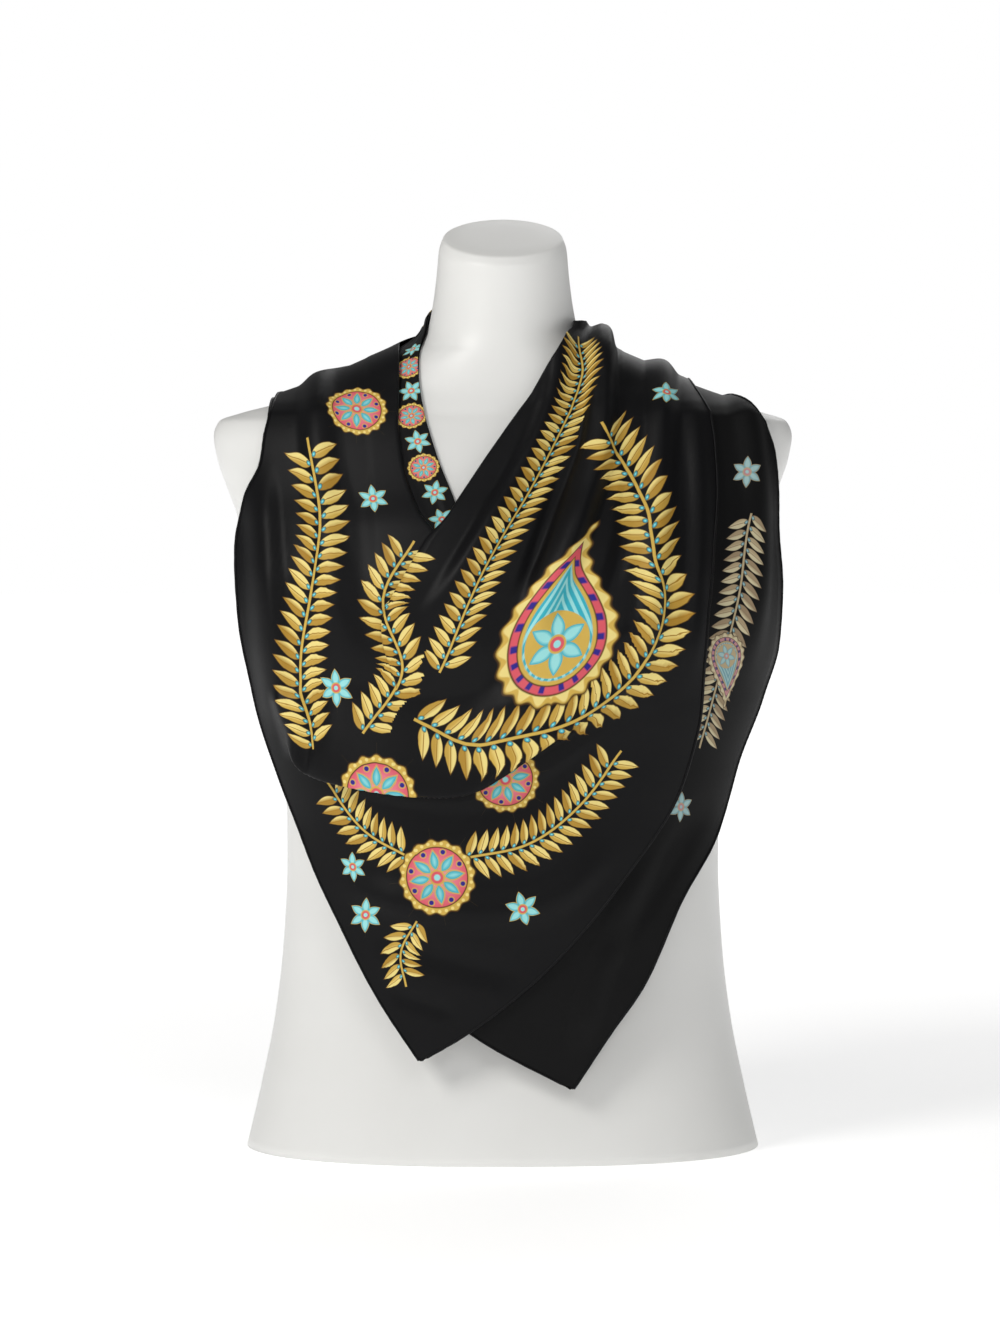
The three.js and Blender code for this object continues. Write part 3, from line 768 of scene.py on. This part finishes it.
facePrint = {
    # leaf length, path
    "garlands": [
        (24, [(-62, 358), (-6, 334), (60, 334), (106, 368), (121, 432), (106, 500), (76, 560)]),
        (22, [(-138, 330), (-147, 380), (-140, 436), (-130, 490), (-140, 556)]),
        (19, [(-98, 346), (-70, 392), (-84, 440), (-62, 482)]),
        (18, [(-44, 392), (-18, 446), (12, 500), (40, 556), (58, 610), (60, 660)]),
        (18, [(-26, 226), (18, 236), (54, 262), (84, 300)]),
        (18, [(-66, 226), (-100, 244), (-128, 276)]),
        (15, [(-60, 180), (-72, 156), (-68, 132)]),
        (19, [(-118, 696), (-128, 740), (-116, 800)]),
        (19, [(96, 722), (92, 760), (104, 820), (110, 880)]),
    ],
    # kind, middle, radius, turn in degrees
    "motifs": [
        ("paisley", 54, 420, 78, -6),
        ("medallion", -46, 212, 28, 10),
        ("medallion", -88, 304, 29, 0),
        ("medallion", 2, 282, 25, 12),
        ("star", -118, 376, 14, 5),
        ("star", 14, 190, 13, 14),
        ("star", -98, 182, 13, 0),
        ("star", -92, 516, 12, 8),
        ("medallion", -104, 588, 23, 0),
        ("star", 128, 574, 12, 0),
        ("star", -108, 216, 11, 0),
        # the strip that shows in the V
        ("star", 101, 924, 9, 0),
        ("medallion", 102, 944, 11, 0),
        ("star", 100, 966, 10, 20),
        ("medallion", 101, 988, 12, 8),
        ("star", 100, 1011, 10, 0),
        ("medallion", 101, 1033, 12, 8),
        ("star", 100, 1055, 10, 30),
        ("star", 103, 1078, 10, 0),
    ],
}
backPrint = {
    "garlands": [
        (17, [(185, 470), (176, 410), (160, 350), (146, 300)]),
        (16, [(-60, 420), (-90, 360), (-70, 300), (0, 260), (70, 280)]),
    ],
    "motifs": [
        ("paisley", 166, 352, 30, 200),
        ("star", 132, 258, 11, 0),
        ("star", 178, 500, 12, 0),
    ],
}
kinds = {"paisley": 1, "medallion": 2, "star": 3}


def nearestPlaces(places, aways, faces):  # a whole face takes one garland or one motif
    nearest = np.array(aways)[:, faces].mean(-1).argmin(0)[:, None]
    return np.array(places)[nearest, faces]


def printPlaces(flat, faces, design):
    # For each corner of a face its place on the nearest garland (leaves along it, leaf lengths from
    # it, its number of leaves) and on the nearest motif (x and y as shares of its radius, its kind)
    places, aways = [], []
    for size, path in design["garlands"]:
        signed, share, length, near = fromPath(path, flat[:, 0], flat[:, 1], openEnds=True)
        count = round(length / (size * leaf["step"]))
        places.append(np.stack([share * count, signed / size, 0 * near + count], -1))
        aways.append(near / size)
    garland = nearestPlaces(places, aways, faces)
    places, aways = [], []
    for kind, u, v, radius, turn in design["motifs"]:
        c, s = math.cos(math.radians(turn)), math.sin(math.radians(turn))
        x, y = (flat[:, 0] - u) / radius, (flat[:, 1] - v) / radius
        x, y = c * x + s * y, c * y - s * x
        places.append(np.stack([x, y, 0 * x + kinds[kind]], -1))
        aways.append(np.hypot(x, y))
    return {"garland": garland, "motif": nearestPlaces(places, aways, faces)}


# The hand-rolled hem


hem = {"radius": 0.95, "sides": 8, "lumps": 0.07, "lumpTurn": 2.1, "sideStep": 0.75}


def makeHem(name, path, outward):
    # A circle carried along the sheet's edge: point + radius * (cos * normal + sin * sideways)
    tangent = unit(np.gradient(path, axis=0))
    sideways = unit(np.cross(tangent, outward))
    normal = np.cross(sideways, tangent)
    angle = turnOf(hem["sides"])[None, :, None]
    lumps = 1 + hem["lumps"] * np.sin(np.arange(len(path)) * hem["lumpTurn"])[:, None, None]
    spokes = np.cos(angle) * normal[:, None] + np.sin(angle) * sideways[:, None]
    rings = path[:, None] + hem["radius"] * lumps * spokes
    rings = np.concatenate([path[:1, None] + 0 * rings[:1], rings, path[-1:, None] + 0 * rings[-1:]])
    length = runningSum(np.linalg.norm(np.diff(path, axis=0), axis=1), 0)
    length = np.concatenate([length[:1], length, length[-1:]])[:, None]
    uv = np.stack(np.broadcast_arrays(length, np.arange(hem["sides"])[None] * hem["sideStep"]), -1)
    return ringMesh(name, rings, uv.reshape(-1, 2))


def sheetEdge(points):
    path, nextIn = (np.concatenate([points[::-1, i], points[:, -1 - i]]) for i in (0, 1))
    return path, np.cross(np.gradient(path, axis=0), nextIn - path)


# Materials


def linear(r, g, b):  # a screen colour of 0 to 255 as the light it stands for
    return tuple(((c / 255 + 0.055) / 1.055) ** 2.4 if c > 10 else c / 255 / 12.92 for c in (r, g, b))


palette = {
    "ground": linear(9, 9, 11),
    "gold": linear(214, 178, 84),
    "paleGold": linear(240, 220, 138),
    "deepGold": linear(168, 126, 44),
    "line": linear(84, 58, 22),
    "turquoise": linear(58, 178, 196),
    "paleTurquoise": linear(158, 226, 226),
    "coral": linear(222, 92, 104),
    "pink": linear(236, 140, 160),
    "violet": linear(52, 42, 140),
}


def fill(tree, node, inputs):
    # A value, a wire or a socket into each input
    for name, value in inputs.items():
        value = getattr(value, "socket", value)
        if isinstance(value, bpy.types.NodeSocket):
            tree.links.new(value, node.inputs[name])
        else:
            node.inputs[name].default_value = value


def addNode(tree, kind, inputs, **settings):
    node = tree.nodes.new("ShaderNode" + kind)
    for name, value in settings.items():
        setattr(node, name, value)
    fill(tree, node, inputs)
    return node


class Wire:
    # A number that runs through a material's nodes, with plain arithmetic
    def __init__(self, tree, socket):
        self.tree, self.socket = tree, socket

    def math(self, kind, *others, clamp=False):
        inputs = dict(enumerate((self, *others)))
        node = addNode(self.tree, "Math", inputs, operation=kind, use_clamp=clamp)
        return Wire(self.tree, node.outputs[0])

    def __add__(self, other):
        return self.math("ADD", other)

    def __sub__(self, other):
        return self.math("SUBTRACT", other)

    def __mul__(self, other):
        return self.math("MULTIPLY", other)

    def __rsub__(self, other):
        return self.math("MULTIPLY_ADD", -1.0, other)

    def abs(self):
        return self.math("ABSOLUTE")

    def wave(self, count):  # cosine of count times the value
        return (self * count).math("COSINE")

    def over(self, edge, soft):  # 1 where the value is over the edge, with a soft step
        return self.math("MULTIPLY_ADD", 1 / soft, 0.5 - edge / soft, clamp=True)


def paint(colour, mask, new):  # new laid over colour where mask is 1
    old, new = ((*palette.get(c, c), 1) if isinstance(c, (str, tuple)) else c for c in (colour, new))
    return addNode(mask.tree, "Mix", {"Factor": mask, 6: old, 7: new}, data_type="RGBA").outputs[2]


def split(tree, vector):  # the three parts of a vector
    return [Wire(tree, part) for part in addNode(tree, "SeparateXYZ", {0: vector}).outputs]


def attributeWires(tree, name):
    return split(tree, addNode(tree, "Attribute", {}, attribute_name=name).outputs["Vector"])


def paintBands(colour, inside, bands, whole=None):
    # Bands of colour, one over the other, each from its own depth inwards
    for depth, soft, name in bands:
        mask = inside.over(depth, soft)
        colour = paint(colour, mask * whole if whole else mask, name)
    return colour


leaf = {
    "step": 0.46,  # from leaf to leaf along a garland, as a share of a leaf's length
    "slant": 1.05,
    "stagger": 0.25,
    "width": 0.47,
    "stem": 0.045,
    "midrib": 0.035,
    "berryAt": 0.13,
    "berry": 0.085,
    "berryBands": [(0, 0.03, "line"), (0.02, 0.03, "turquoise"), (0.057, 0.03, "paleTurquoise")],
}


def paintLeaves(tree, colour):
    # Pairs of leaves along a stem. A leaf's half width is sin(pi * along), it slants forwards, and
    # one half of it is paler than the other
    step, signed, count = attributeWires(tree, "garland")
    reach = signed.abs()
    side = signed.math("SIGN")
    place = step - reach * leaf["slant"] + side * leaf["stagger"]
    cell = place.math("FLOOR")
    across = place - cell - 0.5
    wide = (reach.math("POWER", 0.8) * math.pi).math("SINE").math("MAXIMUM", 0.0) * leaf["width"]
    inside = wide - across.abs()
    first, last = cell.math("GREATER_THAN", -0.5), (count - cell).math("GREATER_THAN", 1.5)
    whole = reach.math("LESS_THAN", 1.0) * first * last
    noise = addNode(tree, "TexWhiteNoise", {"W": cell + side * 57.3}, noise_dimensions="1D")
    tint = Wire(tree, noise.outputs["Value"])
    gold = paint("deepGold", tint.over(0.42, 0.9), "gold")
    gold = paint(gold, (tint * 0.6 + across * 1.6).over(0.35, 0.5), "paleGold")
    gold = paint(gold, (leaf["midrib"] - across.abs()).over(0, 0.02), "deepGold")
    colour = paint(colour, inside.over(0, 0.03) * whole, "line")
    colour = paint(colour, inside.over(0.05, 0.04) * whole, gold)
    onStem = step.math("GREATER_THAN", 0.0) * (count - step).math("GREATER_THAN", 0.0)
    colour = paint(colour, (leaf["stem"] - reach).over(0, 0.02) * onStem, "gold")
    # a berry at the root of each leaf
    off = reach - leaf["berryAt"]
    berry = (across * across * leaf["step"] ** 2 + off * off).math("SQRT")
    return paintBands(colour, leaf["berry"] - berry, leaf["berryBands"], whole)


flower = {
    # petals: how many, where they start and stop, how full they are, and their turn
    "bigPetals": (8, 0.16, 0.74, 0.15, math.pi / 8),
    "smallPetals": (6, 0.1, 1.0, 0.27, 0.0),
    "petalBands": [(0, 0.03, "gold"), (0.035, 0.03, "turquoise"), (0.1, 0.1, "paleTurquoise")],
    "scallops": (16, 0.035, 0.955),  # how many, how deep, and the rim's radius
    "rimBands": [(0, 0.03, "line"), (0.035, 0.03, "gold")],
    # beads: how many, the radius of their ring, and their own
    "rimBeads": (32, 0.86, 0.042),
    "rimBeadBands": [(0, 0.02, "paleGold")],
    "field": 0.78,
    "fieldBands": [(0, 0.02, "line"), (0.03, 0.02, "coral"), (0.25, 0.5, "pink")],
    "fieldBeads": (8, 0.66, 0.085),
    "fieldBeadBands": [(0, 0.02, "gold"), (0.025, 0.02, "violet")],
    "bigHeart": 0.2,
    "smallHeart": 0.28,
}


def angleOff(angle, count):  # how far from the nearest of so many spokes, as a length at radius 1
    return ((angle * (count / (2 * math.pi))).math("FRACT") - 0.5).abs() * (2 * math.pi / count)


def petals(r, angle, count, inner, outer, fullness, turn):
    # How far inside a petal: sin(pi * along) * fullness, less the distance from the petal's middle
    across = angleOff(angle + turn, count) * r
    along = r.math("MULTIPLY_ADD", 1 / (outer - inner), -inner / (outer - inner), clamp=True)
    return (along.math("POWER", 0.85) * math.pi).math("SINE") * fullness - across - 0.012


def beads(r, angle, count, ringRadius, size):  # how far inside a bead
    across = angleOff(angle, count) * ringRadius
    off = r - ringRadius
    return size - (off * off + across * across).math("SQRT")


def paintFlower(colour, x, y, big):
    # Rings of petals and beads round a pearl, in shares of the flower's radius
    f = flower
    r = (x * x + y * y).math("SQRT")
    angle = y.math("ARCTAN2", x) + math.pi
    if big:
        scallops, deep, rim = f["scallops"]
        colour = paintBands(colour, (angle.wave(scallops) * deep + rim) - r, f["rimBands"])
        colour = paintBands(colour, beads(r, angle, *f["rimBeads"]), f["rimBeadBands"])
        colour = paintBands(colour, f["field"] - r, f["fieldBands"])
        colour = paintBands(colour, beads(r, angle, *f["fieldBeads"]), f["fieldBeadBands"])
    size = "big" if big else "small"
    colour = paintBands(colour, petals(r, angle, *f[size + "Petals"]), f["petalBands"])
    heart = f[size + "Heart"]
    pearl = [(0, 0.03, "gold"), (heart * 0.22, 0.03, "coral"), (heart * 0.6, 0.03, "paleTurquoise")]
    return paintBands(colour, heart - r, pearl)


paisley = {
    "aside": 0.16,  # the middle of its round, from the middle of the motif
    "below": 0.42,
    "round": 0.55,
    "rise": 1.4,  # from there to the tip
    "bend": 0.3,
    "width": 0.29,
    "cut": 0.03,
    "scallops": 34,  # a length of edge to so many turns
    "veins": 38,
    "edgeBands": [(0, 0.02, "line"), (0.02, 0.02, "gold")],
    "edgeLight": [(0.055, 0.02, "paleGold")],
    "borderBands": [(0.1, 0.012, "line"), (0.115, 0.015, "coral")],
    "fieldBands": [(0.185, 0.012, "line"), (0.197, 0.012, "gold"), (0.235, 0.012, "turquoise")],
    "flowers": 3.4,  # its flower's radius, as one part of so many
}


def paintPaisley(colour, x, y):
    # A round below, whose sides run up as width * (1 + cos(pi * height / rise)) - cut to a tip bent
    # aside by the square of its height. Its edge is marked off by height and, below, by the angle
    p = paisley
    up = y + p["below"]
    height, under = up.math("MAXIMUM", 0.0), up.math("MINIMUM", 0.0)
    across = x - height * height * p["bend"] + p["aside"]
    turn = (height.math("MINIMUM", p["rise"]) * (math.pi / p["rise"])).math("COSINE")
    inside = (turn + 1.0) * p["width"] - (across * across + under * under).math("SQRT") - p["cut"]
    along = height - (under * -1.0).math("ARCTAN2", across.abs()) * p["round"]
    notch = along.wave(p["scallops"])
    scallop = notch * 0.02
    colour = paintBands(colour, inside + scallop, p["edgeBands"])
    colour = paintBands(colour, inside + scallop * 2.0, p["edgeLight"])
    colour = paintBands(colour, inside, p["borderBands"])
    dash = (notch - 0.1).over(0.3, 0.5) * inside.over(0.125, 0.02)
    colour = paint(colour, dash, "violet")
    colour = paintBands(colour, inside, p["fieldBands"])
    veins = (across.abs() * 2.2 + y).wave(p["veins"]).over(0.2, 0.6) * inside.over(0.235, 0.02)
    colour = paint(colour, veins, "paleTurquoise")
    u, v = (x + p["aside"]) * p["flowers"], up * p["flowers"]
    near = 1.0 - (u * u + v * v).math("SQRT")
    return paint(colour, near.over(0, 0.03), paintFlower("gold", u, v, False))


def printedColour(tree, ground):
    colour = paintLeaves(tree, ground)
    x, y, kind = attributeWires(tree, "motif")
    near = (1.25 - (x * x + y * y).math("SQRT")).over(0, 0.02)
    motifs = {
        "paisley": paintPaisley(colour, x, y),
        "medallion": paintFlower(colour, x, y, True),
        "star": paintFlower(colour, x, y, False),
    }
    for name, motif in motifs.items():
        chosen = kind.math("COMPARE", float(kinds[name]), 0.4) * near
        colour = paint(colour, chosen, motif)
    return colour


def newMaterial(name):
    material = bpy.data.materials.new(name)
    material.use_nodes = True
    return material, material.node_tree, material.node_tree.nodes["Principled BSDF"]


def addNoise(tree, place, scale, detail):
    node = addNode(tree, "TexNoise", {"Vector": place, "Scale": scale, "Detail": detail})
    return Wire(tree, node.outputs["Fac"])


def addBump(tree, shader, height, strength, distance):
    bump = addNode(tree, "Bump", {"Height": height, "Strength": strength, "Distance": distance * mm})
    fill(tree, shader, {"Normal": bump.outputs["Normal"]})


silk = {
    "twill": 0.62,  # millimetres from line to line
    "twillSlant": 0.85,
    "twillStrength": 0.22,
    "yarn": 900,
    "faceRoughness": 0.44,
    "backRoughness": 0.55,
    "specular": 0.16,
    "sheen": 0.015,
    "sheenRoughness": 0.4,
    "backSaturation": 0.6,
    "backValue": 0.68,
}


def silkMaterial(name, wrongSide, printed):
    material, tree, shader = newMaterial(name)
    colour = printedColour(tree, "ground") if printed else (*palette["ground"], 1)
    if printed and wrongSide:
        grey = {"Color": colour, "Saturation": silk["backSaturation"], "Value": silk["backValue"]}
        colour = addNode(tree, "HueSaturation", grey).outputs["Color"]
    fill(tree, shader, {
        "Base Color": colour,
        "Roughness": silk["backRoughness" if wrongSide else "faceRoughness"],
        "Specular IOR Level": silk["specular"],
        "Sheen Weight": silk["sheen"],
        "Sheen Roughness": silk["sheenRoughness"],
    })
    # twill: fine diagonal lines and uneven yarn
    place = addNode(tree, "UVMap", {}, uv_map="clothUV").outputs["UV"]
    u, v, _ = split(tree, place)
    lines = ((u + v * silk["twillSlant"]) * (2 * math.pi / (silk["twill"] * mm))).math("SINE")
    yarn = addNoise(tree, place, silk["yarn"], 2)
    addBump(tree, shader, lines * 0.5 + yarn, silk["twillStrength"], 0.1)
    return material


shell = {
    "colours": (linear(238, 238, 236), linear(230, 230, 227)),
    "roughness": (0.34, 0.12),  # least, and how much more the clouds add
    "clouds": 9,
    "grain": 420,
    "grainStrength": 0.12,
}


def shellMaterial(name):
    # A satin white moulding, faintly uneven
    material, tree, shader = newMaterial(name)
    place = addNode(tree, "TexCoord", {}).outputs["Object"]
    clouds = addNoise(tree, place, shell["clouds"], 4)
    light, dark = shell["colours"]
    least, more = shell["roughness"]
    colour = paint(light, clouds.over(0.5, 0.9), dark)
    fill(tree, shader, {"Base Color": colour, "Roughness": clouds * more + least})
    addBump(tree, shader, addNoise(tree, place, shell["grain"], 2), shell["grainStrength"], 0.2)
    return material


studioFloor = {
    "radii": (0, 2, 9),
    "sides": 64,
    "colour": (0.93, 0.93, 0.93, 1),
    "roughness": 0.8,
    "specular": 0.1,
    # it glows a little round the form and more where the lamps no longer reach
    "glow": (0.5, 0.45),
    "glowFrom": (2.0, 3.2),
}


def floorMaterial(name):
    material, tree, shader = newMaterial(name)
    place = addNode(tree, "TexCoord", {}).outputs["Object"]
    away = addNode(tree, "VectorMath", {0: place}, operation="LENGTH").outputs["Value"]
    near, more = studioFloor["glow"]
    fill(tree, shader, {
        "Base Color": studioFloor["colour"],
        "Roughness": studioFloor["roughness"],
        "Specular IOR Level": studioFloor["specular"],
        "Emission Color": (1, 1, 1, 1),
        "Emission Strength": Wire(tree, away).over(*studioFloor["glowFrom"]) * more + near,
    })
    return material


def dress(obj, material, slotName, *nodes):
    obj.data.materials.clear()
    obj.data.materials.append(material)
    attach(obj, "root")
    if nodes:
        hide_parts(*nodes)


def makeFloor():
    # A level disc: radius * (cos, sin) of the angle
    radius = np.array(studioFloor["radii"])[:, None] / mm
    angle = turnOf(studioFloor["sides"])
    points = np.stack([radius * np.cos(angle), radius * np.sin(angle), 0 * radius * angle], -1)
    floor = ringMesh("studioFloor", points[:, ::-1])
    floor.data.materials.append(floorMaterial("paleFloor"))


bpy.context.scene.view_settings.view_transform = "Standard"
makeCamera(camera)
makeLights(lights)
makeFloor()
print("camera, lights and floor made")

dressForm = makeForm(form)
dress(dressForm, shellMaterial("formShell"), "form", "dress_form")
print("dress form made")

silkFace = silkMaterial("silkFace", False, True)
silkBack = silkMaterial("silkBack", True, True)
silkHem = silkMaterial("silkHem", False, False)
frontLayer, frontPoints = makeSheet("silkFrontLayer", frontSheet, True, facePrint)
dress(frontLayer, silkFace, "silk_face", "front_panel", "left_end", "right_end")
rearLayer, rearPoints = makeSheet("silkRearLayer", rearSheet, False, backPrint)
dress(rearLayer, silkBack, "silk_back", "rear_panel")
print("silk layers made")

frontHem = makeHem("frontHem", *sheetEdge(frontPoints))
dress(frontHem, silkHem, "silk_face")
rearHem = makeHem("rearHem", *sheetEdge(rearPoints))
dress(rearHem, silkHem, "silk_back")
print("hems made")
